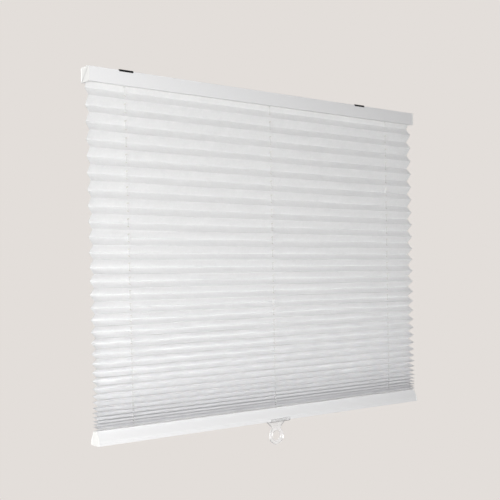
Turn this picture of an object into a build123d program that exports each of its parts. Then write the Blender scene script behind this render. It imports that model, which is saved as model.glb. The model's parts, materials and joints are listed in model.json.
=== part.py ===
from build123d import *
import math
import os

# Cordless pleated blind, in millimetres.
# X runs along the width, Y from front (-Y) to back and Z up.
# The origin is on the mounting plane, at the middle of the head rail.

# Overall sizes
blind_width = 880.0  # across the end caps
blind_drop = 700.0  # head rail top to bottom rail underside

# Head rail, an open-topped channel with a slot for the fabric underneath.
# It is as tall as what it holds, which is 27 mm here.
head_depth = 28.0
head_wall = 1.2
head_flange_thickness = 2.4
head_flange_width = 3.0
strip_slot_height = 4.0
strip_lip_width = 5.0
clip_groove_depth = 0.6
clip_groove_height = 1.0
clip_groove_drop = 1.0  # rail top to the groove's upper edge

# Bottom rail, a hollow wedge with a snap groove along both faces
foot_height = 27.0
foot_top_width = 10.0
foot_shoulder_width = 27.6
foot_shoulder_height = 10.5
foot_bottom_width = 30.0
foot_wall = 1.4
foot_round = 1.0
snap_groove_height = 1.2
snap_groove_depth = 0.6
snap_lip_height = 4.2  # rail underside to the groove's lower edge
foot_slot_width = 3.0
foot_chamber_width = 7.0
foot_chamber_height = 3.0
foot_chamber_cover = 1.6

# End caps
cap_thickness = 2.4
cap_proud = 0.4
cap_recess = 0.6
cap_rim = 2.0
cap_round = 0.6
spigot_length = 3.0
spigot_wall = 1.2
spigot_clearance = 0.15

# Pleated fabric
fabric_inset = 3.0  # from each end of the blind
fabric_thickness = 0.35
facet_length = 21.0
mean_pitch = 20.8
top_pitch_share = 1.58  # first pitch over the mean pitch
pitch_fall = 1.3  # how quickly the pitch falls towards the stack
first_drop = 10.0
last_drop = 2.5
cord_hole_radius = 2.0

# Strips that hold the fabric's ends
top_strip_width = 18.0
top_strip_thickness = 1.6
foot_strip_width = 6.2
foot_strip_thickness = 1.8
strip_end_gap = 6.0
soft_gap = 0.3  # between soft pieces and moving ones

# Lift cords
cord_inset = 84.0  # from each end of the blind
cord_diameter = 1.0
cord_pass_radius = 1.4
knot_radius = 1.7

# Mounting clips, placed from each end of the blind
clip_left_inset = 80.0
clip_right_inset = 183.0
clip_length = 30.0
clip_thickness = 1.2
clip_lip_thickness = 0.9
clip_lip_drop = 2.6
clip_gap = 0.15
clip_screw_radius = 2.25
clip_nib_height = 0.7

# Cord guides and their rollers
roller_groove_radius = 3.0
roller_flange_rise = 0.5
roller_width = 4.6
roller_groove_width = 3.4
pin_radius = 1.0
running_gap = 0.05
side_gap = 0.3
cheek_thickness = 1.6
cheek_length = 8.0
guide_base = 1.0
guide_length = 16.0
bush_radius = 2.2
bush_clearance = 0.1

# Spring motor
motor_end_gap = 3.0  # to the right end cap's spigot
motor_wall = 1.2
motor_floor = 1.5
motor_cover_thickness = 1.2
motor_headroom = 0.6  # the spool's top flange to the base's rim
motor_top_gap = 0.8  # motor cover to the head rail's flanges
motor_side_gap = 0.3
gear_module = 1.0
gear_teeth = 20
gear_thickness = 3.3
gear_backlash_deg = 0.7
tooth_addendum = 0.8
tooth_dedendum = 1.15
axle_radius = 1.6
drum_flange_radius = 9.3
drum_flange_thickness = 0.8
drum_core_radius = 4.4
drum_gap = 0.2
spool_core_radius = 6.0
spool_flange_radius = 8.4
spool_flange_thickness = 0.5
spring_turns_output = 2.8
spring_turns_storage = 0.9
spring_band = 0.4
spring_gap = 0.3
cord_level_step = 2.8
boss_radius = 1.8
screw_radius = 0.9
screw_head_radius = 1.6
screw_head_height = 0.9
screw_length = 8.0

# Cord anchors under the bottom rail
anchor_radius = 3.8
anchor_flange_radius = 5.6
anchor_flange_thickness = 1.2
anchor_height = 6.0
anchor_clearance = 0.1
anchor_recess_radius = 2.2
anchor_recess_depth = 4.2

# Pull handle
handle_length = 54.0
handle_base = 1.8
handle_lip_thickness = 1.2
handle_gap = 0.15
handle_nib = 0.45
tab_height = 17.0  # from the clip down into the ring
tab_low_width = 16.0
tab_corner_round = 5.0
ring_diameter = 38.0
ring_hole_diameter = 22.0
ring_drop = 34.0  # rail underside to the ring's centre
ring_thickness = 5.0
ring_edge_round = 1.6

# Levels and places worked out from the sizes above
half_width = blind_width / 2
cord_x = half_width - cord_inset
cord_radius = cord_diameter / 2
trough_depth = head_depth - 2 * head_wall

roller_flange_radius = roller_groove_radius + roller_flange_rise
roller_turn = roller_groove_radius + cord_radius + soft_gap
lowest_cord_rise = guide_base + side_gap + roller_flange_radius + roller_turn
motor_height = lowest_cord_rise + 2.5 * cord_level_step + motor_headroom
channel_height = motor_height + motor_cover_thickness + motor_top_gap + head_flange_thickness
head_height = channel_height + 2 * head_wall + strip_slot_height

rail_top = -clip_thickness
rail_bottom = rail_top - head_height
lip_top = rail_bottom + head_wall
web_bottom = lip_top + strip_slot_height
web_top = web_bottom + head_wall
foot_bottom = rail_top - blind_drop
foot_top = foot_bottom + foot_height

lowest_level = web_top + lowest_cord_rise
cord_level = {
    "right": lowest_level,
    "middle": lowest_level + cord_level_step,
    "left": lowest_level + 2 * cord_level_step,
}
guide_x = {"left": -cord_x, "middle": 0.0, "right": cord_x}

gear_pitch_radius = gear_module * gear_teeth / 2
gear_outer_radius = gear_pitch_radius + tooth_addendum * gear_module
motor_right = half_width - cap_thickness - spigot_length - motor_end_gap
storage_x = motor_right - motor_wall - drum_flange_radius - 2 * drum_gap
output_x = storage_x - 2 * drum_flange_radius - 4 * drum_gap
spool_x = output_x - 2 * gear_pitch_radius
motor_left = spool_x - gear_outer_radius - 2 * drum_gap - motor_wall
motor_depth = trough_depth - 2 * motor_side_gap
motor_floor_top = web_top + motor_floor
motor_top = web_top + motor_height
gear_bottom = motor_floor_top + drum_gap
gear_top = gear_bottom + gear_thickness
drum_top = motor_top - 2 * drum_gap
cord_exit_y = spool_core_radius + cord_radius + soft_gap


def block(x0, x1, y0, y1, z0, z1):
    """A box between two corners."""
    size = (x1 - x0, y1 - y0, z1 - z0)
    middle = ((x0 + x1) / 2, (y0 + y1) / 2, (z0 + z1) / 2)
    return Pos(*middle) * Box(*size)


def round_bar(x, y, z0, z1, radius):
    """An upright cylinder."""
    return Pos(x, y, (z0 + z1) / 2) * Cylinder(radius, z1 - z0)


def cross_bar(x, z, y0, y1, radius):
    """A cylinder that lies along Y."""
    return Pos(x, (y0 + y1) / 2, z) * Rot(90, 0, 0) * Cylinder(radius, y1 - y0)


def section(points, x0, x1):
    """A closed outline of (y, z) points, drawn out along X."""
    outline = make_face(Polyline(*points, close=True))
    return extrude(Plane.YZ.offset(x0) * outline, amount=x1 - x0)


def save(piece, name):
    """One STEP file for one node."""
    export_step(piece, f"parts/{name}.step")


def head_rail():
    end = half_width - cap_thickness
    half = head_depth / 2
    inner = half - head_wall
    mouth = inner - head_flange_width
    slot = inner - strip_lip_width
    rail = block(-end, end, -half, half, rail_bottom, rail_top)
    rail -= block(-end, end, -inner, inner, web_top, rail_top - head_flange_thickness)
    rail -= block(-end, end, -mouth, mouth, web_top, rail_top)
    rail -= block(-end, end, -inner, inner, lip_top, web_bottom)
    rail -= block(-end, end, -slot, slot, rail_bottom, lip_top)
    groove_top = rail_top - clip_groove_drop
    for side in (-1, 1):
        y0, y1 = sorted((side * half, side * (half - clip_groove_depth)))
        rail -= block(-end, end, y0, y1, groove_top - clip_groove_height, groove_top)
    for x in guide_x.values():
        rail -= round_bar(x, 0, web_bottom, web_top, bush_radius + bush_clearance)
    return rail


def head_cap(side):
    """The plate over one end of the head rail, with a hollow spigot in the channel."""
    outer = side * half_width
    inner = side * (half_width - cap_thickness)
    half = head_depth / 2 + cap_proud
    x0, x1 = sorted((outer, inner))
    cap = block(x0, x1, -half, half, rail_bottom - cap_proud, rail_top + cap_proud)
    cap = fillet(cap.edges().filter_by(Axis.X), cap_round * 2)
    cap = fillet(cap.faces().sort_by(Axis.X)[-1 if side > 0 else 0].edges(), cap_round)
    r0, r1 = sorted((outer, outer - side * cap_recess))
    low, high = rail_bottom + cap_rim, rail_top - cap_rim
    cap -= block(r0, r1, -half + cap_rim, half - cap_rim, low, high)
    s0, s1 = sorted((inner, inner - side * spigot_length))
    reach = head_depth / 2 - head_wall - spigot_clearance
    low = web_top + spigot_clearance
    high = rail_top - head_flange_thickness - spigot_clearance
    cap += block(s0, s1, -reach, reach, low, high)
    bore = reach - spigot_wall
    cap -= block(s0, s1, -bore, bore, low + spigot_wall, high - spigot_wall)
    return cap


def mounting_clip(x):
    """A spring clip over the rail's top, with nibs in the rail's grooves."""
    x0, x1 = x - clip_length / 2, x + clip_length / 2
    face = head_depth / 2 + clip_gap
    outer = face + clip_lip_thickness
    lip_low = rail_top - clip_lip_drop
    clip = block(x0, x1, -outer, outer, rail_top, 0)
    nib_top = rail_top - clip_groove_drop - (clip_groove_height - clip_nib_height) / 2
    tip = head_depth / 2 - clip_groove_depth + clip_gap
    for side in (-1, 1):
        y0, y1 = sorted((side * face, side * outer))
        clip += block(x0, x1, y0, y1, lip_low, rail_top)
        y0, y1 = sorted((side * tip, side * face))
        clip += block(x0, x1, y0, y1, nib_top - clip_nib_height, nib_top)
    clip -= round_bar(x, 0, rail_top, 0, clip_screw_radius)
    return clip


def foot_outline(inset):
    """The bottom rail's section, as (y, z) points from the front's foot round to the back's."""
    half_foot = foot_bottom_width / 2 - inset
    half_shoulder = foot_shoulder_width / 2 - inset
    half_top = foot_top_width / 2 - inset * 0.6
    shoulder = foot_bottom + foot_shoulder_height
    low, high = foot_bottom + inset, foot_top - inset
    front = [(-half_foot, low), (-half_shoulder, shoulder), (-half_top, high)]
    back = [(half_top, high), (half_shoulder, shoulder), (half_foot, low)]
    return front + back


def face_half_width(z):
    """Half the bottom rail's depth at a height below its shoulder."""
    share = (z - foot_bottom) / foot_shoulder_height
    return (foot_bottom_width + (foot_shoulder_width - foot_bottom_width) * share) / 2


def bottom_rail():
    end = half_width - cap_thickness
    rail = section(foot_outline(0), -end, end)
    rail = fillet(rail.edges().filter_by(Axis.X).group_by(Axis.Z)[0], foot_round)
    chamber_top = foot_top - foot_chamber_cover
    chamber_low = chamber_top - foot_chamber_height
    hollow = section(foot_outline(foot_wall), -end, end)
    hollow -= block(-end, end, -head_depth, head_depth, chamber_low - foot_wall, foot_top)
    rail -= hollow
    half = foot_chamber_width / 2
    rail -= block(-end, end, -half, half, chamber_low, chamber_top)
    half = foot_slot_width / 2
    rail -= block(-end, end, -half, half, chamber_top, foot_top)
    groove_low = foot_bottom + snap_lip_height
    groove_high = groove_low + snap_groove_height
    depth = face_half_width(groove_high) - snap_groove_depth
    for side in (-1, 1):
        y0, y1 = sorted((side * depth, side * foot_bottom_width))
        rail -= block(-end, end, y0, y1, groove_low, groove_high)
    for x in guide_x.values():
        rail -= round_bar(x, 0, foot_bottom + foot_wall, foot_top, cord_pass_radius)
        seat = anchor_radius + anchor_clearance
        rail -= round_bar(x, 0, foot_bottom, foot_bottom + foot_wall, seat)
    return rail


def foot_cap(side):
    """The plate over one end of the bottom rail, with a spigot in its hollow."""
    outer = side * half_width
    inner = side * (half_width - cap_thickness)
    x0, x1 = sorted((outer, inner))
    cap = section(foot_outline(-cap_proud), x0, x1)
    cap = fillet(cap.edges().filter_by(Axis.X).group_by(Axis.Z)[0], foot_round)
    cap = fillet(cap.faces().sort_by(Axis.X)[-1 if side > 0 else 0].edges(), cap_round)
    r0, r1 = sorted((outer, outer - side * cap_recess))
    cap -= section(foot_outline(cap_rim), r0, r1)
    s0, s1 = sorted((inner, inner - side * spigot_length))
    chamber_low = foot_top - foot_chamber_cover - foot_chamber_height
    ceiling = chamber_low - foot_wall - spigot_clearance
    spigot = section(foot_outline(foot_wall + spigot_clearance), s0, s1)
    spigot -= block(s0, s1, -head_depth, head_depth, ceiling, foot_top)
    bore = section(foot_outline(foot_wall + spigot_clearance + spigot_wall), s0, s1)
    bore -= block(s0, s1, -head_depth, head_depth, ceiling - spigot_wall, foot_top)
    return cap + (spigot - bore)


def strip(width, thickness, z0):
    """A flat strip that keys one end of the fabric into its rail."""
    end = half_width - cap_thickness - strip_end_gap
    bar = block(-end, end, -width / 2, width / 2, z0, z0 + thickness)
    for x in guide_x.values():
        bar -= round_bar(x, 0, z0, z0 + thickness, cord_pass_radius)
    return bar


def pleat_pitches():
    """The height of each pleat, from the first back fold to the last: open above, stacked below."""
    fall = (lip_top - first_drop) - (foot_top + last_drop)
    count = round(fall / mean_pitch)
    shape = [math.cos(math.pi / 2 * k / count) ** pitch_fall for k in range(count)]
    mean_shape = sum(shape) / count
    rise = (top_pitch_share - 1) / (1 - mean_shape)
    return [fall / count * (1 + rise * (share - mean_shape)) for share in shape]


def pleat_folds():
    """Each fold as (side, reach, z, pitch): side is 1 at the back and -1 at the front."""
    folds = []
    z = lip_top - first_drop
    for pitch in pleat_pitches():
        reach = math.sqrt(facet_length**2 - (pitch / 2) ** 2) / 2
        folds += [(1, reach, z, pitch), (-1, reach, z - pitch / 2, pitch)]
        z -= pitch
    return folds


def pleated_fabric():
    """One folded sheet, punched on each cord's line, whose lower end hangs in the bottom rail."""
    half = fabric_thickness / 2
    sides = {1: [(half, lip_top)], -1: [(-half, lip_top)]}
    for side, reach, z, pitch in pleat_folds():
        rise = half * facet_length / (2 * reach)
        inner = half * facet_length / (pitch / 2)
        sides[side] += [(side * reach, z + rise), (side * reach, z - rise)]
        sides[-side] += [(side * (reach - inner), z)]
    neck = foot_top + 2 * soft_gap
    foot_end = foot_top - foot_chamber_cover - foot_chamber_height
    foot_end += foot_strip_thickness + soft_gap
    for side in (1, -1):
        sides[side] += [(side * half, neck + side * half), (side * half, foot_end)]
    end = half_width - fabric_inset
    sheet = section(sides[1] + sides[-1][::-1], -end, end)
    for x in guide_x.values():
        sheet -= round_bar(x, 0, foot_end, lip_top, cord_hole_radius)
    return sheet


def lift_cord(name):
    """From the spool along the head rail, over its roller and down to a knot in its anchor."""
    x = guide_x[name]
    level = cord_level[name]
    knot_z = foot_bottom - anchor_flange_thickness + anchor_recess_depth
    knot_z -= knot_radius + soft_gap
    route = [(spool_x, cord_exit_y, level), (x, 0, level), (x, 0, knot_z)]
    path = FilletPolyline(*route, radius=roller_turn)
    profile = Plane(origin=path @ 0, z_dir=path % 0) * Circle(cord_radius)
    cord = sweep(profile, path=path)
    return cord + Pos(x, 0, knot_z) * Sphere(knot_radius)


def cord_guide(name):
    """A cradle on the channel's floor, with a bush through it and two cheeks for the pin."""
    x = guide_x[name]
    centre_x, centre_z = x + roller_turn, cord_level[name] - roller_turn
    inner = roller_width / 2 + side_gap
    outer = inner + cheek_thickness
    x0 = centre_x - guide_length / 2
    guide = block(x0, x0 + guide_length, -outer, outer, web_top, web_top + guide_base)
    guide += round_bar(x, 0, web_bottom, web_top, bush_radius)
    c0, c1 = centre_x - cheek_length / 2, centre_x + cheek_length / 2
    for side in (-1, 1):
        y0, y1 = sorted((side * inner, side * outer))
        guide += block(c0, c1, y0, y1, web_top, centre_z + 2 * pin_radius)
    guide -= round_bar(x, 0, web_bottom, web_top + guide_base, cord_pass_radius)
    guide -= cross_bar(centre_x, centre_z, -outer, outer, pin_radius)
    return guide


def guide_pin(name):
    x, z = guide_x[name] + roller_turn, cord_level[name] - roller_turn
    reach = roller_width / 2 + side_gap + cheek_thickness
    return cross_bar(x, z, -reach, reach, pin_radius)


def guide_roller(name):
    x, z = guide_x[name] + roller_turn, cord_level[name] - roller_turn
    half = roller_width / 2
    groove = roller_groove_width / 2
    roller = cross_bar(x, z, -half, half, roller_flange_radius)
    ring = cross_bar(x, z, -groove, groove, roller_flange_radius)
    ring -= cross_bar(x, z, -groove, groove, roller_groove_radius)
    roller -= ring
    return roller - cross_bar(x, z, -half, half, pin_radius + running_gap)


def boss_places():
    inset = motor_wall + boss_radius * 0.7
    y = motor_depth / 2 - inset
    return [(x, side * y) for x in (motor_left + inset, motor_right - inset) for side in (-1, 1)]


def motor_base():
    half = motor_depth / 2
    x0, x1 = motor_left + motor_wall, motor_right - motor_wall
    tray = block(motor_left, motor_right, -half, half, web_top, motor_top)
    tray -= block(x0, x1, -half + motor_wall, half - motor_wall, motor_floor_top, motor_top)
    for x, y in boss_places():
        tray += round_bar(x, y, motor_floor_top, motor_top, boss_radius)
        tray -= round_bar(x, y, motor_top - screw_length, motor_top, screw_radius)
    for x in (spool_x, output_x, storage_x):
        tray += round_bar(x, 0, motor_floor_top, motor_top, axle_radius)
    low = cord_level["right"] - cord_diameter
    high = cord_level["left"] + cord_diameter
    tray -= block(motor_left, x0, 0, cord_exit_y + cord_diameter, low, high)
    return tray


def motor_cover():
    half = motor_depth / 2
    high = motor_top + motor_cover_thickness
    cover = block(motor_left, motor_right, -half, half, motor_top, high)
    for x, y in boss_places():
        cover -= round_bar(x, y, motor_top, high, screw_radius)
        cover -= round_bar(x, y, high - screw_head_height, high, screw_head_radius + drum_gap)
    return cover


def motor_screws():
    """Four screws in one node."""
    high = motor_top + motor_cover_thickness
    screws = []
    for x, y in boss_places():
        head = round_bar(x, y, high - screw_head_height, high, screw_head_radius)
        shank = round_bar(x, y, motor_top - screw_length, high - screw_head_height, screw_radius)
        screws.append(head + shank)
    return Compound(children=screws)


def gear(x, turned):
    """A spur gear with straight-sided teeth, turned by a share of a tooth."""
    step = 360 / gear_teeth
    outer = gear_outer_radius
    root = gear_pitch_radius - tooth_dedendum * gear_module
    root_half = step * 0.36 - gear_backlash_deg
    tip_half = step * 0.13
    points = []
    for tooth in range(gear_teeth):
        middle = (tooth + turned) * step
        for angle, radius in (
            (-root_half, root),
            (-tip_half, outer),
            (tip_half, outer),
            (root_half, root),
        ):
            a = math.radians(middle + angle)
            points.append((radius * math.cos(a), radius * math.sin(a)))
    outline = make_face(Polyline(*points, close=True))
    return Pos(x, 0, gear_bottom) * extrude(outline, amount=gear_thickness)


def cord_spool():
    spool = gear(spool_x, 0)
    spool += round_bar(spool_x, 0, gear_top, drum_top, spool_core_radius)
    half_step = cord_level_step / 2
    for k in range(4):
        z = cord_level["right"] - half_step + k * cord_level_step
        low, high = z - spool_flange_thickness / 2, z + spool_flange_thickness / 2
        spool += round_bar(spool_x, 0, low, high, spool_flange_radius)
    return spool - round_bar(spool_x, 0, gear_bottom, motor_top, axle_radius + running_gap)


def drum(x, low):
    """A flanged drum that the flat spring winds on."""
    body = round_bar(x, 0, low, drum_top, drum_core_radius)
    for z in (low, drum_top - drum_flange_thickness):
        body += round_bar(x, 0, z, z + drum_flange_thickness, drum_flange_radius)
    return body - round_bar(x, 0, low, drum_top, axle_radius + running_gap)


def output_drum():
    bore = round_bar(output_x, 0, gear_bottom, gear_top, axle_radius + running_gap)
    return drum(output_x, gear_top) + (gear(output_x, 0.5) - bore)


def storage_drum():
    low = motor_floor_top + drum_gap
    spacer = round_bar(storage_x, 0, low, gear_top, drum_core_radius)
    spacer -= round_bar(storage_x, 0, low, gear_top, axle_radius + running_gap)
    return drum(storage_x, gear_top) + spacer


def flat_spring():
    """The band, wound on both drums and crossing from one to the other."""
    low = gear_top + drum_flange_thickness + spring_gap
    high = drum_top - drum_flange_thickness - spring_gap
    inner = drum_core_radius + spring_gap
    output_outer = inner + spring_turns_output
    storage_outer = inner + spring_turns_storage
    band = round_bar(output_x, 0, low, high, output_outer)
    band += round_bar(storage_x, 0, low, high, storage_outer)
    span = storage_x - output_x
    r1, r2 = output_outer - spring_band / 2, storage_outer - spring_band / 2
    lean = math.acos((r1 + r2) / span)
    start = (output_x + r1 * math.cos(lean), r1 * math.sin(lean))
    finish = (storage_x - r2 * math.cos(lean), -r2 * math.sin(lean))
    dx, dy = finish[0] - start[0], finish[1] - start[1]
    middle = ((start[0] + finish[0]) / 2, (start[1] + finish[1]) / 2, (low + high) / 2)
    turn = math.degrees(math.atan2(dy, dx))
    band += Pos(*middle) * Rot(0, 0, turn) * Box(math.hypot(dx, dy), spring_band, high - low)
    for x in (output_x, storage_x):
        band -= round_bar(x, 0, low, high, inner)
    return band


def cord_anchor(name):
    """A stepped bush under the bottom rail, with the knot in its recess."""
    x = guide_x[name]
    low = foot_bottom - anchor_flange_thickness
    anchor = round_bar(x, 0, low, foot_bottom + anchor_height, anchor_radius)
    anchor += round_bar(x, 0, low, foot_bottom, anchor_flange_radius)
    anchor -= round_bar(x, 0, low, low + anchor_recess_depth, anchor_recess_radius)
    return anchor - round_bar(x, 0, low, foot_bottom + anchor_height, cord_radius + soft_gap)


def finger_ring(high):
    """A round ring that hangs from a tapered tab, with rounded rims."""
    half_top, half_low = handle_length / 2, tab_low_width / 2
    low = high - tab_height
    corners = [(-half_top, high), (half_top, high), (half_low, low), (-half_low, low)]
    centre = Pos(0, foot_bottom - ring_drop)
    outline = make_face(Polyline(*corners, close=True)) + centre * Circle(ring_diameter / 2)
    outline = fillet(outline.vertices().group_by(Axis.Y)[0], tab_corner_round)
    outline -= centre * Circle(ring_hole_diameter / 2)
    facing = Plane.XZ.offset(-ring_thickness / 2)
    ring = extrude(facing * outline, amount=ring_thickness)
    rims = ring.edges().filter_by(Axis.Y, reverse=True)
    return fillet(rims.filter_by(lambda edge: edge.center().Z < high - 1), ring_edge_round)


def pull_handle():
    """A clear clip round the bottom rail's lips, with a finger ring below."""
    x0, x1 = -handle_length / 2, handle_length / 2
    face = foot_bottom_width / 2 + handle_gap
    outer = face + handle_lip_thickness
    base_low = foot_bottom - handle_base
    nib_low = foot_bottom + snap_lip_height + handle_gap
    nib_top = nib_low + snap_groove_height - 2 * handle_gap
    clip = block(x0, x1, -outer, outer, base_low, foot_bottom)
    for side in (-1, 1):
        y0, y1 = sorted((side * face, side * outer))
        clip += block(x0, x1, y0, y1, base_low, nib_top)
        y0, y1 = sorted((side * (face - handle_nib - handle_gap), side * outer))
        clip += block(x0, x1, y0, y1, nib_low, nib_top)
    hub_x = anchor_flange_radius + anchor_clearance
    clip -= round_bar(0, 0, foot_bottom - anchor_flange_thickness, foot_bottom, hub_x)
    return clip + finger_ring(base_low)


os.makedirs("parts", exist_ok=True)
save(head_rail(), "headrail")
save(bottom_rail(), "bottom_rail")
for side_name, side in (("left", -1), ("right", 1)):
    save(head_cap(side), f"headrail_end_cap_{side_name}")
    save(foot_cap(side), f"bottom_rail_end_cap_{side_name}")
save(mounting_clip(-half_width + clip_left_inset), "mounting_clip_left")
save(mounting_clip(half_width - clip_right_inset), "mounting_clip_right")
save(strip(top_strip_width, top_strip_thickness, lip_top), "fabric_top_strip")
chamber_floor = foot_top - foot_chamber_cover - foot_chamber_height
save(strip(foot_strip_width, foot_strip_thickness, chamber_floor), "fabric_bottom_strip")
save(pleated_fabric(), "pleated_fabric")
for name in guide_x:
    save(lift_cord(name), f"lift_cord_{name}")
    save(cord_guide(name), f"cord_guide_{name}")
    save(guide_pin(name), f"guide_pin_{name}")
    save(guide_roller(name), f"guide_roller_{name}")
    save(cord_anchor(name), f"cord_anchor_{name}")
save(motor_base(), "spring_motor_base")
save(motor_cover(), "spring_motor_cover")
save(motor_screws(), "spring_motor_screws")
save(cord_spool(), "cord_spool")
save(output_drum(), "spring_output_drum")
save(storage_drum(), "spring_storage_drum")
save(flat_spring(), "flat_spring")
save(pull_handle(), "pull_handle")
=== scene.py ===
from collections import namedtuple
import json
import math

import bmesh
import bpy
from mathutils import Matrix, Vector, noise


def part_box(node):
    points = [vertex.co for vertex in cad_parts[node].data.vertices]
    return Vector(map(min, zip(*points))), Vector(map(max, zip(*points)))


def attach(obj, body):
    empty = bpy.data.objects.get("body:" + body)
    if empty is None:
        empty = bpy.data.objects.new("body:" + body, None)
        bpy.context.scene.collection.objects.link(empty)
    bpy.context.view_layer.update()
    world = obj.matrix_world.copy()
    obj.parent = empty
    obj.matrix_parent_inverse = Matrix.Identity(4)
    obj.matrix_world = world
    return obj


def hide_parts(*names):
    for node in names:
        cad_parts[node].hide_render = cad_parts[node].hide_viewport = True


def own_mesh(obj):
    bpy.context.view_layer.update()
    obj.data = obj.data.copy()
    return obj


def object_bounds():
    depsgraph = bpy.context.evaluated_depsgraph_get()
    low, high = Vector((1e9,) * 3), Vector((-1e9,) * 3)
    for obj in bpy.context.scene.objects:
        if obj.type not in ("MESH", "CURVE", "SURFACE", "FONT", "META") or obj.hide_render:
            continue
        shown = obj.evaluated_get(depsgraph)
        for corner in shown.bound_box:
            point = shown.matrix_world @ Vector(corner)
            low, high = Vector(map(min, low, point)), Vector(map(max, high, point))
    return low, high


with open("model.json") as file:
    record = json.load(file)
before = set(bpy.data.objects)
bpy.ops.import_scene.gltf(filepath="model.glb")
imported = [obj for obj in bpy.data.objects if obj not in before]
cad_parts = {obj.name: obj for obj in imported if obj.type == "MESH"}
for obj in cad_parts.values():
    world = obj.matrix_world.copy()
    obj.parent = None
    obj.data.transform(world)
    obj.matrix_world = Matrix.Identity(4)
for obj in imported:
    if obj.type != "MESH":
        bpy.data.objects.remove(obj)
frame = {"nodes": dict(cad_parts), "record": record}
cad_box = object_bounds()

MM = 0.001
SIDES = {"left": -1, "right": 1}
CORDS = ("left", "middle", "right")

# Places that the frame gives
head_low, head_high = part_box("headrail")
foot_low, foot_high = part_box("bottom_rail")
cloth_low, cloth_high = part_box("pleated_fabric")
half_width = cad_box[1].x

# Head rail section
head_wall = 1.2 * MM
head_flange_thickness = 2.4 * MM
head_flange_width = 3.0 * MM
strip_slot_height = 4.0 * MM
strip_lip_width = 5.0 * MM
clip_groove_depth = 0.8 * MM
clip_groove_height = 1.5 * MM
clip_groove_drop = 0.7 * MM
bush_radius = 2.3 * MM

# Bottom rail section
foot_top_width = 10.0 * MM
foot_shoulder_width = 27.6 * MM
foot_shoulder_height = 10.5 * MM
foot_wall = 1.4 * MM
foot_top_share = 0.6  # the slanted wall is thicker where it is measured level
snap_groove_height = 1.8 * MM
snap_groove_depth = 0.9 * MM
snap_lip_height = 4.2 * MM
foot_slot_width = 3.0 * MM
foot_chamber_width = 7.0 * MM
foot_chamber_height = 3.0 * MM
foot_chamber_cover = 1.6 * MM
anchor_bore = 3.9 * MM
cord_pass_radius = 1.4 * MM

# End caps
cap_thickness = 2.4 * MM
cap_proud = 0.4 * MM
cap_recess = 0.6 * MM
cap_rim = 2.0 * MM
cap_corner = 1.2 * MM
spigot_gap = 0.15 * MM
spigot_wall = 1.2 * MM

# Mounting clips
clip_thickness = 1.2 * MM
clip_lip_thickness = 0.9 * MM
clip_nib_height = 0.7 * MM
clip_nib_reach = 0.45 * MM
clip_screw_radius = 2.25 * MM

# Cloth
cloth_thickness = 0.35 * MM
facet_length = 21.0 * MM
pleat_count = 31
top_pitch_share = 1.55
pitch_fall = 1.3
first_drop = 10.0 * MM
last_drop = 2.5 * MM
cord_hole_radius = 2.4 * MM
column_step = 9.0 * MM
fold_round = 0.5 * MM
slot_gap = 0.3 * MM
slit_length = 2.8 * MM
fold_change = 9.0  # how quickly the sway changes down the cloth
fold_unevenness = 0.03  # share of the pitch
crush_height = 0.28 * MM
crush_scale = 1 / (13 * MM)
fold_sway = 0.55 * MM
sway_scale = 1 / (160 * MM)

# Cords
turn_steps = 8
cord_sides = 8
knot_wrap = 0.18
cord_radius = 0.5 * MM
roller_turn = 3.8 * MM
knot_radius = 1.7 * MM

# Studio
stage_reach = 40.0
floor_drop = 0.5
studio_colour = "#E3DEDA"


# ---------- modelling by hand ----------

def only(piece):
    bpy.ops.object.select_all(action="DESELECT")
    piece.select_set(True)
    bpy.context.view_layer.objects.active = piece


def added(name):
    """The piece that was just added, named and with its place put in its mesh."""
    piece = bpy.context.object
    piece.name = name
    piece.data.name = name
    bpy.ops.object.transform_apply(location=True, rotation=True, scale=True)
    return piece


def block(name, low, high):
    """A box between two corners, as a start."""
    bpy.ops.object.select_all(action="DESELECT")
    middle = [(a + b) / 2 for a, b in zip(low, high)]
    bpy.ops.mesh.primitive_cube_add(size=1, location=middle)
    bpy.context.object.scale = [b - a for a, b in zip(low, high)]
    return added(name)


def plate(name, x, low, high):
    """A flat plate across a rail, between two (y, z) corners, as a start."""
    bpy.ops.object.select_all(action="DESELECT")
    middle = (x, (low[0] + high[0]) / 2, (low[1] + high[1]) / 2)
    bpy.ops.mesh.primitive_plane_add(size=1, location=middle, rotation=(0, math.pi / 2, 0))
    bpy.context.object.scale = (high[1] - low[1], high[0] - low[0], 1)
    return added(name)


def edit(piece):
    only(piece)
    bpy.ops.object.mode_set(mode="EDIT")


def leave():
    bpy.ops.object.mode_set(mode="OBJECT")


def cut(point, normal, clear=False):
    """Cuts the whole mesh along a plane, and can throw away what is in front of it."""
    bpy.ops.mesh.select_all(action="SELECT")
    unit = Vector(normal).normalized()
    bpy.ops.mesh.bisect(plane_co=point, plane_no=unit, clear_outer=clear, threshold=MM / 1000)


def pick(piece, test, kind="FACE"):
    """Selects the faces or edges that pass the test."""
    bpy.ops.mesh.select_mode(type=kind)
    bpy.ops.mesh.select_all(action="DESELECT")
    shape = bmesh.from_edit_mesh(piece.data)
    for item in shape.faces if kind == "FACE" else shape.edges:
        if test(item):
            item.select_set(True)
    bmesh.update_edit_mesh(piece.data)


def apply(piece, kind, **settings):
    """Adds a modifier with its settings and applies it."""
    only(piece)
    modifier = piece.modifiers.new(kind.lower(), kind)
    for key, value in settings.items():
        setattr(modifier, key, value)
    bpy.ops.object.modifier_apply(modifier=modifier.name)


def soften(piece, width, segments=2):
    """Rounds the sharp edges a little and shades the piece smooth."""
    apply(
        piece, "BEVEL", width=width, segments=segments, limit_method="ANGLE",
        angle_limit=math.radians(28), use_clamp_overlap=True,
    )
    only(piece)
    bpy.ops.object.shade_smooth_by_angle(angle=math.radians(40))
    apply(piece, "WEIGHTED_NORMAL", keep_sharp=True)


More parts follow.
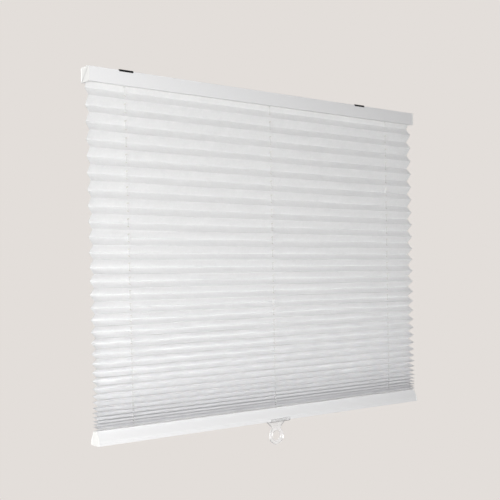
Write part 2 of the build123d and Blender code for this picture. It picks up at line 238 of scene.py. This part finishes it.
def drill(piece, places, radius, low, high):
    """Round upright holes at (x, y) places."""
    for x, y in places:
        bpy.ops.object.select_all(action="DESELECT")
        bpy.ops.mesh.primitive_cylinder_add(
            vertices=24, radius=radius, depth=high - low, location=(x, y, (low + high) / 2)
        )
        bit = added("drill")
        apply(piece, "BOOLEAN", operation="DIFFERENCE", object=bit, solver="EXACT")
        bpy.data.objects.remove(bit)


def draw_out(piece, lines_y, lines_z, hollow, length):
    """Cuts a plate to a rail's section and draws it out along the width."""
    edit(piece)
    for y in lines_y:
        cut((0, y, 0), (0, 1, 0))
    for z in lines_z:
        cut((0, 0, z), (0, 0, 1))
    pick(piece, lambda face: hollow(*face.calc_center_median().yz))
    bpy.ops.mesh.delete(type="FACE")
    bpy.ops.mesh.select_all(action="SELECT")
    bpy.ops.mesh.dissolve_limited(angle_limit=math.radians(0.5))
    bpy.ops.mesh.select_all(action="SELECT")
    bpy.ops.mesh.extrude_region_move(TRANSFORM_OT_translate={"value": (length, 0, 0)})
    bpy.ops.mesh.select_all(action="SELECT")
    bpy.ops.mesh.normals_make_consistent(inside=False)
    leave()


# ---------- rails ----------

def make_head_rail():
    half = head_high.y
    inner = half - head_wall
    mouth = inner - head_flange_width
    throat = inner - strip_lip_width
    groove = half - clip_groove_depth
    top, bottom = head_high.z, head_low.z
    lip_top = bottom + head_wall
    web_bottom = lip_top + strip_slot_height
    web_top = web_bottom + head_wall
    flange_low = top - head_flange_thickness
    groove_high = top - clip_groove_drop
    groove_low = groove_high - clip_groove_height

    def hollow(y, z):
        y = abs(y)
        channel = y < inner and web_top < z < flange_low
        opening = y < mouth and z > web_top
        strip_slot = y < inner and lip_top < z < web_bottom
        slot_throat = y < throat and z < lip_top
        clip_groove = y > groove and groove_low < z < groove_high
        return channel or opening or strip_slot or slot_throat or clip_groove

    rail = plate("head_rail", head_low.x, (-half, bottom), (half, top))
    lines_y = [side * y for side in (-1, 1) for y in (inner, mouth, throat, groove)]
    lines_z = [lip_top, web_bottom, web_top, flange_low, groove_low, groove_high]
    draw_out(rail, lines_y, lines_z, hollow, head_high.x - head_low.x)
    drill(rail, [(cord_hole_x(name), 0) for name in CORDS], bush_radius, web_bottom - MM, web_top + MM)
    soften(rail, 0.3 * MM)
    return rail


def foot_line(inset):
    """The bottom rail's front outline from foot to top, as (half width, z)."""
    return [
        (foot_high.y - inset, foot_low.z + inset),
        (foot_shoulder_width / 2 - inset, foot_low.z + foot_shoulder_height),
        (foot_top_width / 2 - inset * foot_top_share, foot_high.z - inset),
    ]


def foot_half_width(z, inset):
    (y0, z0), (y1, z1), (y2, z2) = foot_line(inset)
    if z < z1:
        return y0 + (y1 - y0) * (z - z0) / (z1 - z0)
    return y1 + (y2 - y1) * (z - z1) / (z2 - z1)


def slanted_cuts(inset, clear):
    """Cuts along the bottom rail's four slanted faces, or inside them."""
    line = foot_line(inset)
    for (y0, z0), (y1, z1) in zip(line, line[1:]):
        for side in (-1, 1):
            cut((0, side * y0, z0), (0, side * (z1 - z0), y0 - y1), clear)


def make_bottom_rail():
    low, high = foot_low.z, foot_high.z
    chamber_top = high - foot_chamber_cover
    chamber_low = chamber_top - foot_chamber_height
    ceiling = chamber_low - foot_wall
    groove_low = low + snap_lip_height
    groove_high = groove_low + snap_groove_height
    groove = foot_half_width(groove_high, 0) - snap_groove_depth

    def hollow(y, z):
        y = abs(y)
        inside = low + foot_wall < z < ceiling and y < foot_half_width(z, foot_wall)
        chamber = y < foot_chamber_width / 2 and chamber_low < z < chamber_top
        slot = y < foot_slot_width / 2 and z > chamber_top
        snap_groove = y > groove and groove_low < z < groove_high
        return inside or chamber or slot or snap_groove

    half = foot_high.y
    rail = plate("bottom_rail_body", foot_low.x, (-half, low), (half, high))
    edit(rail)
    slanted_cuts(0, True)
    slanted_cuts(foot_wall, False)
    leave()
    halves = (foot_chamber_width / 2, foot_slot_width / 2, groove)
    lines_y = [side * y for side in (-1, 1) for y in halves]
    lines_z = [low + foot_wall, ceiling, chamber_low, chamber_top, groove_low, groove_high]
    draw_out(rail, lines_y, lines_z, hollow, foot_high.x - foot_low.x)
    places = [(cord_hole_x(name), 0) for name in CORDS]
    drill(rail, places, anchor_bore, low - MM, low + foot_wall + MM / 2)
    drill(rail, places, cord_pass_radius, low + foot_wall + MM, high + MM)
    soften(rail, 0.45 * MM, 3)
    return rail


def cord_hole_x(name):
    """Where a lift cord comes down, which is a roller's turn to the left of its roller's pin."""
    pin_low, pin_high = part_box(f"guide_pin_{name}")
    return (pin_low.x + pin_high.x) / 2 - roller_turn


def cap_plate(name, side, outline):
    """An end cap's outer plate: drawn out of its outline, with a sunk panel inside its rim."""
    edit(outline)
    bpy.ops.mesh.select_all(action="SELECT")
    outward = {"value": (side * cap_thickness, 0, 0)}
    bpy.ops.mesh.extrude_region_move(TRANSFORM_OT_translate=outward)
    bpy.ops.mesh.select_all(action="SELECT")
    bpy.ops.mesh.normals_make_consistent(inside=False)
    pick(outline, lambda face: face.normal.x * side > 0.9)
    bpy.ops.mesh.inset(thickness=cap_rim)
    inward = {"value": (-side * cap_recess, 0, 0)}
    bpy.ops.mesh.extrude_region_move(TRANSFORM_OT_translate=inward)
    leave()
    return outline


def add_spigot(cap, side, low, high):
    """A hollow plug on the cap's inner face, that fits in the rail."""
    spigot = block("spigot", low, high)
    edit(spigot)
    pick(spigot, lambda face: face.normal.x * side < -0.9)
    bpy.ops.mesh.inset(thickness=spigot_wall)
    deeper = {"value": (side * (high[0] - low[0] - MM), 0, 0)}
    bpy.ops.mesh.extrude_region_move(TRANSFORM_OT_translate=deeper)
    leave()
    apply(cap, "BOOLEAN", operation="UNION", object=spigot, solver="EXACT")
    bpy.data.objects.remove(spigot)


def make_head_cap(name):
    side = SIDES[name]
    low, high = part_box(f"headrail_end_cap_{name}")
    inner = side * (half_width - cap_thickness)
    cap = plate(f"head_cap_{name}", inner, (low.y, low.z), (high.y, high.z))
    edit(cap)
    bpy.ops.mesh.select_all(action="SELECT")
    bpy.ops.mesh.bevel(offset=cap_corner, segments=4, affect="VERTICES")
    leave()
    cap_plate(name, side, cap)
    web_top = head_low.z + 2 * head_wall + strip_slot_height
    reach = head_high.y - head_wall - spigot_gap
    tip = low.x if side > 0 else high.x
    root = inner + side * MM
    x0, x1 = sorted((tip, root))
    ceiling = head_high.z - head_flange_thickness - spigot_gap
    add_spigot(cap, side, (x0, -reach, web_top + spigot_gap), (x1, reach, ceiling))
    soften(cap, 0.4 * MM, 3)
    return cap


def make_foot_cap(name):
    side = SIDES[name]
    low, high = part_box(f"bottom_rail_end_cap_{name}")
    inner = side * (half_width - cap_thickness)
    cap = plate(f"foot_cap_{name}", inner, (low.y, low.z), (high.y, high.z))
    edit(cap)
    slanted_cuts(-cap_proud, True)
    leave()
    cap_plate(name, side, cap)
    soften(cap, 0.5 * MM, 3)
    return cap


def make_clip(name):
    """A spring clip folded over the head rail's top, with a nib in each of its grooves."""
    low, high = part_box(f"mounting_clip_{name}")
    under = high.z - clip_thickness
    face = high.y - clip_lip_thickness
    nib = face - clip_nib_reach
    nib_high = head_high.z - clip_groove_drop - (clip_groove_height - clip_nib_height) / 2
    nib_low = nib_high - clip_nib_height

    def hollow(y, z):
        y = abs(y)
        is_nib = y > nib and nib_low < z < nib_high
        return z < under and y < face and not is_nib

    clip = plate(f"clip_{name}", low.x, (low.y, low.z), (high.y, high.z))
    lines_y = [side * y for side in (-1, 1) for y in (face, nib)]
    draw_out(clip, lines_y, [under, nib_high, nib_low], hollow, high.x - low.x)
    middle = (low.x + high.x) / 2
    drill(clip, [(middle, 0)], clip_screw_radius, under - MM, high.z + MM)
    soften(clip, 0.18 * MM)
    return clip


# ---------- cloth ----------

Row = namedtuple("Row", "y z run held hole at_rail")


def pleat_folds():
    """The cloth from top to bottom as (y, z): its upper edge, each fold, and its lower end."""
    top = cloth_high.z
    fall = (top - first_drop) - (foot_high.z + last_drop)
    shape = [math.cos(math.pi / 2 * k / pleat_count) ** pitch_fall for k in range(pleat_count)]
    mean_shape = sum(shape) / pleat_count
    rise = (top_pitch_share - 1) / (1 - mean_shape)
    folds = [(0, top)]
    z = top - first_drop
    for k, share in enumerate(shape):
        pitch = fall / pleat_count * (1 + rise * (share - mean_shape))
        reach = math.sqrt(facet_length**2 - (pitch / 2) ** 2) / 2
        uneven = pitch * fold_unevenness
        folds.append((reach, z + uneven * noise.noise((k * 0.83, 2.1, 0))))
        folds.append((-reach, z - pitch / 2 + uneven * noise.noise((k * 0.83, 7.7, 0))))
        z -= pitch
    return folds + [(0, foot_high.z + 2 * slot_gap), (0, cloth_low.z)]


def cloth_rows():
    """Each row of the cloth's mesh, with its length along the cloth and its place in a hole."""
    folds = pleat_folds()
    rows = []
    run = 0
    for (y0, z0), (y1, z1) in zip(folds, folds[1:]):
        length = math.hypot(y1 - y0, z1 - z0)
        looseness = min(1, abs(z1 - z0) / (facet_length / 2))
        at_rail = y0 == 0 or y1 == 0
        middle = length / 2
        places = {0: None, middle - cord_hole_radius: -1, middle: 0, middle + cord_hole_radius: 1}
        if at_rail:
            places = {0: None, slit_length: None, middle: None, length - slit_length: None}
        if length > facet_length / 2:
            places |= {fold_round: None, length - fold_round: None}
        for place, hole in sorted(places.items()):
            share = place / length
            y, z = y0 + (y1 - y0) * share, z0 + (z1 - z0) * share
            held = looseness if place and not at_rail else 0
            rows.append(Row(y, z, run + place, held, hole, at_rail))
        run += length
    rows.append(Row(*folds[-1], run, 0, None, True))
    return rows, run


def is_punched(row, following):
    """Whether the cloth between two rows is cut away on a cord's line."""
    hole = row.hole in (-1, 0) and following.hole in (0, 1)
    slit = row.at_rail and abs(row.y + following.y) / 2 < cord_hole_radius
    return hole or slit


def cloth_columns():
    """Each column of the cloth's mesh as (x, hole place)."""
    stops = [cloth_low.x, *(cord_hole_x(name) for name in CORDS), cloth_high.x]
    columns = [(stops[0], None)]
    for a, b in zip(stops, stops[1:]):
        start = a if a == stops[0] else a + cord_hole_radius
        finish = b if b == stops[-1] else b - cord_hole_radius
        count = round((finish - start) / column_step)
        columns += [(start + (finish - start) * k / count, None) for k in range(1, count)]
        if b != stops[-1]:
            columns += [(b - cord_hole_radius, -1), (b, 0), (b + cord_hole_radius, 1)]
    return columns + [(stops[-1], None)]


def make_cloth():
    """The pleated sheet: folded, punched for the cords, and crushed a little all over."""
    rows, length = cloth_rows()
    columns = cloth_columns()
    shape = bmesh.new()
    layer = shape.loops.layers.uv.new("cloth")
    flat = {}
    grid = []
    for row in rows:
        line = []
        for x, side in columns:
            along, across = 0, 0
            if row.hole in (-1, 1) and side in (-1, 1):
                along = -side * cord_hole_radius * (1 - math.sqrt(0.5))
                across = -row.hole * cord_hole_radius * (1 - math.sqrt(0.5))
            wave = crush_height * row.held * noise.noise((x * crush_scale, row.run * crush_scale, 0))
            sway = fold_sway * row.held * noise.noise((x * sway_scale, row.run * fold_change, 4.2))
            vertex = shape.verts.new((x + along, row.y + wave + sway, row.z + (wave + sway) / 2))
            flat[vertex] = (x + along, row.run + across)
            line.append((vertex, across))
        grid.append(line)
    tilt_hole_corners(grid, rows)
    for k in range(len(rows) - 1):
        for c in range(len(columns) - 1):
            on_cord = columns[c][1] in (-1, 0) and columns[c + 1][1] in (0, 1)
            if on_cord and is_punched(rows[k], rows[k + 1]):
                continue
            corners = [grid[k][c][0], grid[k + 1][c][0], grid[k + 1][c + 1][0], grid[k][c + 1][0]]
            face = shape.faces.new(corners)
            for loop in face.loops:
                loop[layer].uv = flat[loop.vert]
            face.smooth = True
    mesh = bpy.data.meshes.new("pleated_cloth")
    shape.to_mesh(mesh)
    shape.free()
    cloth = bpy.data.objects.new("pleated_cloth", mesh)
    bpy.context.scene.collection.objects.link(cloth)
    apply(cloth, "SOLIDIFY", thickness=cloth_thickness, offset=0, use_rim=True)
    only(cloth)
    bpy.ops.object.shade_smooth_by_angle(angle=math.radians(35))
    return cloth, length


def tilt_hole_corners(grid, rows):
    """Moves each hole's corners along the facet, so that the hole is round in the cloth."""
    for k, line in enumerate(grid):
        for vertex, across in line:
            if across:
                before, after = rows[k - 1], rows[k + 1]
                step = across / (after.run - before.run)
                vertex.co.y += (after.y - before.y) * step
                vertex.co.z += (after.z - before.z) * step


# ---------- cords ----------

def cord_route(name):
    """A lift cord's centre line, from the spool over its roller and down to its knot."""
    low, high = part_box(f"lift_cord_{name}")
    level = high.z - cord_radius
    start = Vector((high.x, high.y - cord_radius, level))
    corner = Vector((cord_hole_x(name), 0, level))
    run = (start - corner).normalized()
    centre = corner + (run - Vector((0, 0, 1))) * roller_turn
    route = [start]
    for k in range(turn_steps + 1):
        angle = math.pi / 2 * k / turn_steps
        route.append(centre + (Vector((0, 0, 1)) * math.cos(angle) - run * math.sin(angle)) * roller_turn)
    return route + [Vector((corner.x, 0, low.z + knot_radius))], run


def make_cord(name):
    """A braided cord as a tube along its route, with its knot at the lower end."""
    route, run = cord_route(name)
    across = run.cross(Vector((0, 0, 1))).normalized()
    shape = bmesh.new()
    layer = shape.loops.layers.uv.new("cord")
    rings = []
    travelled = 0
    for k, point in enumerate(route):
        back, ahead = route[max(k - 1, 0)], route[min(k + 1, len(route) - 1)]
        if k:
            travelled += (point - back).length
        out = across.cross((ahead - back).normalized())
        ring = []
        for turn in range(cord_sides):
            angle = 2 * math.pi * turn / cord_sides
            offset = (across * math.cos(angle) + out * math.sin(angle)) * cord_radius
            ring.append(shape.verts.new(point + offset))
        rings.append((ring, travelled))
    for (ring, v0), (following, v1) in zip(rings, rings[1:]):
        for turn in range(cord_sides):
            after = (turn + 1) % cord_sides
            face = shape.faces.new([ring[turn], ring[after], following[after], following[turn]])
            u0, u1 = turn / cord_sides, (turn + 1) / cord_sides
            for loop, uv in zip(face.loops, ((u0, v0), (u1, v0), (u1, v1), (u0, v1))):
                loop[layer].uv = uv
            face.smooth = True
    shape.faces.new(rings[0][0])
    shape.faces.new(rings[-1][0][::-1])
    knot = bmesh.ops.create_uvsphere(shape, u_segments=16, v_segments=10, radius=knot_radius)
    for vertex in knot["verts"]:
        turn = math.atan2(vertex.co.y, vertex.co.x)
        wrap = 1 - knot_wrap * (0.5 + 0.5 * math.sin(2 * turn + vertex.co.z / knot_radius * 4))
        vertex.co = vertex.co * wrap + route[-1]
        for face in vertex.link_faces:
            face.smooth = True
    bmesh.ops.recalc_face_normals(shape, faces=shape.faces[:])
    mesh = bpy.data.meshes.new(f"cord_{name}")
    shape.to_mesh(mesh)
    shape.free()
    cord = bpy.data.objects.new(f"cord_{name}", mesh)
    bpy.context.scene.collection.objects.link(cord)
    return cord


# ---------- materials ----------

def linear(code):
    """An sRGB hex colour as linear numbers."""
    channels = [int(code[k:k + 2], 16) / 255 for k in (1, 3, 5)]
    return [c / 12.92 if c <= 0.04045 else ((c + 0.055) / 1.055) ** 2.4 for c in channels] + [1]


def per_metre(size):
    """A pattern's scale from the real size in mm of one of its features."""
    return 1000 / size


def node(tree, kind, settings, inputs):
    """Adds a node. An input is a number, a colour, or the socket that feeds it."""
    new = tree.nodes.new(kind)
    for key, value in settings.items():
        setattr(new, key, value)
    for key, value in inputs.items():
        if isinstance(value, bpy.types.NodeSocket):
            tree.links.new(value, new.inputs[key])
        else:
            new.inputs[key].default_value = value
    return new


def start(name, **inputs):
    """A new material with its shader's own values."""
    made = bpy.data.materials.new(name)
    made.use_nodes = True
    shader = made.node_tree.nodes["Principled BSDF"]
    for key, value in inputs.items():
        shader.inputs[key.replace("_", " ")].default_value = value
    return made, made.node_tree, shader


def relief(tree, shader, height, depth, strength):
    """Bump of a real depth in mm, from a height pattern."""
    bump = node(tree, "ShaderNodeBump", {}, {"Strength": strength, "Distance": depth * MM, "Height": height})
    tree.links.new(bump.outputs["Normal"], shader.inputs["Normal"])


def two_tone(tree, shader, share, dark, light):
    tone = node(
        tree, "ShaderNodeMix", {"data_type": "RGBA"},
        {0: share, 6: linear(dark), 7: linear(light)},
    )
    tree.links.new(tone.outputs[2], shader.inputs["Base Color"])


def crushed_polyester():
    """Crushed polyester cloth: matt and papery, with a net of soft creases a few mm apart. Its colour is
    painted a little darker along the creases and in the hollows, as shade, and mottled at random.
    """
    made, tree, shader = start(
        "crushed_polyester", Roughness=0.82, Specular_IOR_Level=0.35,
        Subsurface_Weight=1, Subsurface_Radius=(1, 1, 1), Subsurface_Scale=3 * MM,
    )
    uv = node(tree, "ShaderNodeUVMap", {"uv_map": "cloth"}, {})
    drift = node(
        tree, "ShaderNodeTexNoise", {},
        {"Vector": uv.outputs["UV"], "Scale": per_metre(14), "Detail": 4, "Roughness": 0.6},
    )
    bent = node(
        tree, "ShaderNodeVectorMath", {"operation": "MULTIPLY_ADD"},
        {0: drift.outputs["Color"], 1: (0.012, 0.012, 0.012), 2: uv.outputs["UV"]},
    )
    creases = node(
        tree, "ShaderNodeTexVoronoi", {"feature": "DISTANCE_TO_EDGE"},
        {"Vector": bent.outputs["Vector"], "Scale": per_metre(7)},
    )
    crepe = node(
        tree, "ShaderNodeTexNoise", {},
        {"Vector": uv.outputs["UV"], "Scale": per_metre(2.2), "Detail": 3, "Roughness": 0.7},
    )
    net = node(
        tree, "ShaderNodeMath", {"operation": "MULTIPLY_ADD"},
        {0: creases.outputs["Distance"], 1: 0.8, 2: drift.outputs[0]},
    )
    height = node(
        tree, "ShaderNodeMath", {"operation": "MULTIPLY_ADD"},
        {0: crepe.outputs[0], 1: 0.35, 2: net.outputs[0]},
    )
    relief(tree, shader, height.outputs[0], 0.9, 0.55)
    # The base colour follows the same height as the bump: painted shade, darker along the crease lines and
    # in the hollows, with random mottle from the drift and crepe noise.
    two_tone(tree, shader, height.outputs[0], "#EFEFF0", "#F7F7F8")
    return made


def powder_coat():
    """Powder coat on extruded aluminium: satin white with a faint orange peel."""
    made, tree, shader = start(
        "powder_coated_aluminium", Base_Color=linear("#E9E9EA"), Roughness=0.38, IOR=1.5,
    )
    place = node(tree, "ShaderNodeTexCoord", {}, {})
    peel = node(
        tree, "ShaderNodeTexNoise", {},
        {"Vector": place.outputs["Object"], "Scale": per_metre(1.6), "Detail": 2},
    )
    relief(tree, shader, peel.outputs[0], 0.05, 0.5)
    two_tone(tree, shader, peel.outputs[0], "#E3E3E4", "#E9E9EA")
    return made


def moulded_abs():
    """Moulded ABS: a warmer white than the rails, with a fine eroded mould texture."""
    made, tree, shader = start("moulded_abs", Base_Color=linear("#EBEBE9"), Roughness=0.45, IOR=1.53)
    place = node(tree, "ShaderNodeTexCoord", {}, {})
    grain = node(
        tree, "ShaderNodeTexNoise", {},
        {"Vector": place.outputs["Object"], "Scale": per_metre(0.9), "Detail": 3},
    )
    relief(tree, shader, grain.outputs[0], 0.04, 0.6)
    return made


def black_spring_steel():
    """Spring steel with a black oxide: dark, with a dull metal gleam and rubbed specks."""
    made, tree, shader = start("black_spring_steel", Metallic=0.7, Roughness=0.4)
    place = node(tree, "ShaderNodeTexCoord", {}, {})
    specks = node(
        tree, "ShaderNodeTexNoise", {},
        {"Vector": place.outputs["Object"], "Scale": per_metre(3), "Detail": 5, "Roughness": 0.7},
    )
    two_tone(tree, shader, specks.outputs[0], "#131415", "#26282A")
    relief(tree, shader, specks.outputs[0], 0.04, 0.4)
    return made


def clear_polycarbonate():
    """Moulded clear polycarbonate: glassy, with a slight milkiness."""
    made, tree, shader = start(
        "clear_polycarbonate", Base_Color=linear("#FAFBFC"), Roughness=0.16, IOR=1.585,
        Transmission_Weight=0.78,
    )
    place = node(tree, "ShaderNodeTexCoord", {}, {})
    flow = node(
        tree, "ShaderNodeTexNoise", {},
        {"Vector": place.outputs["Object"], "Scale": per_metre(9), "Detail": 1},
    )
    relief(tree, shader, flow.outputs[0], 0.08, 0.25)
    return made


def braided_polyester():
    """Braided polyester cord: white strands that cross round it every millimetre or so, with painted shade
    in the hollows between the strands.
    """
    made, tree, shader = start("braided_polyester", Roughness=0.7, Specular_IOR_Level=0.4)
    uv = node(tree, "ShaderNodeUVMap", {"uv_map": "cord"}, {})
    strands = []
    for lean in (1, -1):
        turned = node(
            tree, "ShaderNodeMapping", {},
            {"Vector": uv.outputs["UV"], "Scale": (lean * 2, per_metre(1.4), 1)},
        )
        axes = node(tree, "ShaderNodeSeparateXYZ", {}, {"Vector": turned.outputs[0]})
        total = node(
            tree, "ShaderNodeMath", {"operation": "ADD"}, {0: axes.outputs["X"], 1: axes.outputs["Y"]},
        )
        angle = node(
            tree, "ShaderNodeMath", {"operation": "MULTIPLY"}, {0: total.outputs[0], 1: 2 * math.pi},
        )
        strands.append(node(tree, "ShaderNodeMath", {"operation": "SINE"}, {0: angle.outputs[0]}))
    braid = node(
        tree, "ShaderNodeMath", {"operation": "MULTIPLY"},
        {0: strands[0].outputs[0], 1: strands[1].outputs[0]},
    )
    share = node(
        tree, "ShaderNodeMath", {"operation": "MULTIPLY_ADD"}, {0: braid.outputs[0], 1: 0.5, 2: 0.5},
    )
    relief(tree, shader, share.outputs[0], 0.12, 0.8)
    # The base colour follows the braid's height: painted shade, darker in the hollows between the strands.
    two_tone(tree, shader, share.outputs[0], "#CFCFCE", "#F0F0EF")
    return made


def acetal():
    """Moulded acetal: an ivory white, waxy and smooth."""
    made, tree, shader = start("moulded_acetal", Roughness=0.3, IOR=1.48)
    place = node(tree, "ShaderNodeTexCoord", {}, {})
    waxy = node(
        tree, "ShaderNodeTexNoise", {},
        {"Vector": place.outputs["Object"], "Scale": per_metre(5), "Detail": 2},
    )
    two_tone(tree, shader, waxy.outputs[0], "#E6E2D8", "#F0EDE5")
    return made


def grey_nylon():
    """Glass-filled nylon: mid grey, dull, with short fibres that show as faint streaks."""
    made, tree, shader = start("moulded_nylon", Roughness=0.58, IOR=1.53)
    place = node(tree, "ShaderNodeTexCoord", {}, {})
    along = node(
        tree, "ShaderNodeMapping", {}, {"Vector": place.outputs["Object"], "Scale": (0.25, 1, 1)},
    )
    fibres = node(
        tree, "ShaderNodeTexNoise", {},
        {"Vector": along.outputs[0], "Scale": per_metre(1), "Detail": 4},
    )
    two_tone(tree, shader, fibres.outputs[0], "#8A8D90", "#A3A6A8")
    relief(tree, shader, fibres.outputs[0], 0.03, 0.4)
    return made


def bright_steel():
    """Drawn and ground steel: bright, with fine marks along its length."""
    made, tree, shader = start("bright_steel", Metallic=1, Roughness=0.28)
    place = node(tree, "ShaderNodeTexCoord", {}, {})
    along = node(
        tree, "ShaderNodeMapping", {}, {"Vector": place.outputs["Object"], "Scale": (0.08, 1, 1)},
    )
    marks = node(
        tree, "ShaderNodeTexNoise", {},
        {"Vector": along.outputs[0], "Scale": per_metre(0.5), "Detail": 3},
    )
    two_tone(tree, shader, marks.outputs[0], "#A9ACAF", "#C6C8CA")
    relief(tree, shader, marks.outputs[0], 0.01, 0.3)
    return made


def extruded_pvc():
    """Extruded PVC strip: plain white with drawn lines along it."""
    made, tree, shader = start("extruded_pvc", Roughness=0.5)
    place = node(tree, "ShaderNodeTexCoord", {}, {})
    along = node(
        tree, "ShaderNodeMapping", {}, {"Vector": place.outputs["Object"], "Scale": (0.02, 1, 1)},
    )
    lines = node(
        tree, "ShaderNodeTexNoise", {},
        {"Vector": along.outputs[0], "Scale": per_metre(0.8), "Detail": 2},
    )
    two_tone(tree, shader, lines.outputs[0], "#DDDDDB", "#E9E9E7")
    return made


# ---------- the whole blind ----------

def paint(piece, finish):
    piece.data.materials.clear()
    piece.data.materials.append(finish)


def done(piece, body, slot, finish, *nodes):
    """Rides a finished piece on its body in place of its CAD nodes."""
    paint(piece, finish)
    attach(piece, body)
    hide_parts(*nodes)


def hang_cloth(finish):
    cloth, length = make_cloth()
    done(cloth, "headrail", "pleat_fabric", finish, "pleated_fabric")
    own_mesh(cloth)


def run_cords(finish):
    for name in CORDS:
        cord = make_cord(name)
        done(cord, "headrail", "cord_white", finish, f"lift_cord_{name}")
        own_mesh(cord)


def paint_cad_nodes(finishes):
    """Gives each piece that stays as the frame has it the finish of its slot."""
    for part in frame["record"]["subparts"]:
        cad_piece = frame["nodes"][part["node"]]
        if not cad_piece.hide_render:
            paint(cad_piece, finishes[part["material_slot"]])


def build_blind():
    finishes = {
        "cap_white": moulded_abs(),
        "clear_plastic": clear_polycarbonate(),
        "clip_black": black_spring_steel(),
        "cord_white": braided_polyester(),
        "gear_white": acetal(),
        "motor_grey": grey_nylon(),
        "pleat_fabric": crushed_polyester(),
        "rail_white": powder_coat(),
        "steel": bright_steel(),
        "strip_white": extruded_pvc(),
    }
    coat, cap_finish = finishes["rail_white"], finishes["cap_white"]
    done(make_head_rail(), "headrail", "rail_white", coat, "headrail")
    done(make_bottom_rail(), "bottom_rail", "rail_white", coat, "bottom_rail")
    for name in SIDES:
        done(make_head_cap(name), "headrail", "cap_white", cap_finish, f"headrail_end_cap_{name}")
        done(make_foot_cap(name), "bottom_rail", "cap_white", cap_finish, f"bottom_rail_end_cap_{name}")
        done(make_clip(name), "headrail", "clip_black", finishes["clip_black"], f"mounting_clip_{name}")
    hang_cloth(finishes["pleat_fabric"])
    run_cords(finishes["cord_white"])
    paint_cad_nodes(finishes)


# ---------- studio ----------

def make_stage():
    """A pale floor under the blind that glows evenly, and a backdrop of the same colour all round.
    The floor and backdrop are hidden from diffuse and shadow rays, so that they don't light the blind; the
    camera and reflections still see them."""
    made, tree, shader = start(
        "pale_paper", Base_Color=linear("#000000"), Roughness=1, Specular_IOR_Level=0,
        Emission_Color=linear(studio_colour), Emission_Strength=1,
    )
    bpy.ops.object.select_all(action="DESELECT")
    floor_z = cad_box[0].z - floor_drop
    bpy.ops.mesh.primitive_plane_add(size=2 * stage_reach, location=(0, 0, floor_z))
    floor = added("floor")
    bpy.ops.object.select_all(action="DESELECT")
    bpy.ops.mesh.primitive_uv_sphere_add(radius=stage_reach, location=(0, 0, 0))
    backdrop = added("backdrop")
    for thing in (floor, backdrop):
        for ray in ("diffuse", "shadow"):
            setattr(thing, f"visible_{ray}", False)
        paint(thing, made)


def aim(thing, place, target):
    thing.location = place
    thing.rotation_euler = (Vector(target) - Vector(place)).to_track_quat("-Z", "Y").to_euler()
    bpy.context.scene.collection.objects.link(thing)


def soft_light(name, place, target, size, power):
    lamp = bpy.data.lights.new(name, "AREA")
    lamp.size = size
    lamp.energy = power
    lamp.color = linear("#FFFFFE")[:3]
    light = bpy.data.objects.new(name, lamp)
    light.visible_camera = False
    aim(light, place, target)


def light_studio():
    soft_light("key", (-1.75, -1.45, -0.48), (0, 0, -0.5), 0.9, 49)
    soft_light("low_fill", (0.2, -0.6, -0.66), (0.2, 0, -0.66), 0.6, 0.7)
    soft_light("back_fill", (-0.7, 2.4, -0.5), (0, 0, -0.5), 1.6, 19)
    bpy.context.scene.cycles.diffuse_bounces = 16
    bpy.context.scene.cycles.max_bounces = 20
    world = bpy.data.worlds.new("studio")
    bpy.context.scene.world = world
    world.use_nodes = True
    sky = world.node_tree.nodes["Background"]
    sky.inputs["Color"].default_value = linear("#F5F5F6")
    sky.inputs["Strength"].default_value = 0.265
    bpy.context.scene.view_settings.view_transform = "Standard"


def place_camera():
    camera = bpy.data.objects.new("camera", bpy.data.cameras.new("camera"))
    bpy.context.scene.collection.objects.link(camera)
    bpy.context.scene.camera = camera
    camera.data.sensor_width = 36
    camera.data.lens = 64.8
    camera.data.shift_y = 0.14
    yaw, pitch, roll = [math.radians(angle) for angle in (38.25, -2.31, -1.23)]
    camera.matrix_world = (
        Matrix.Translation((-1.242, -1.492, -0.4052))
        @ Matrix.Rotation(-yaw, 4, "Z")
        @ Matrix.Rotation(math.pi / 2 + pitch, 4, "X")
        @ Matrix.Rotation(roll, 4, "Z")
    )


build_blind()
make_stage()
light_studio()
place_camera()
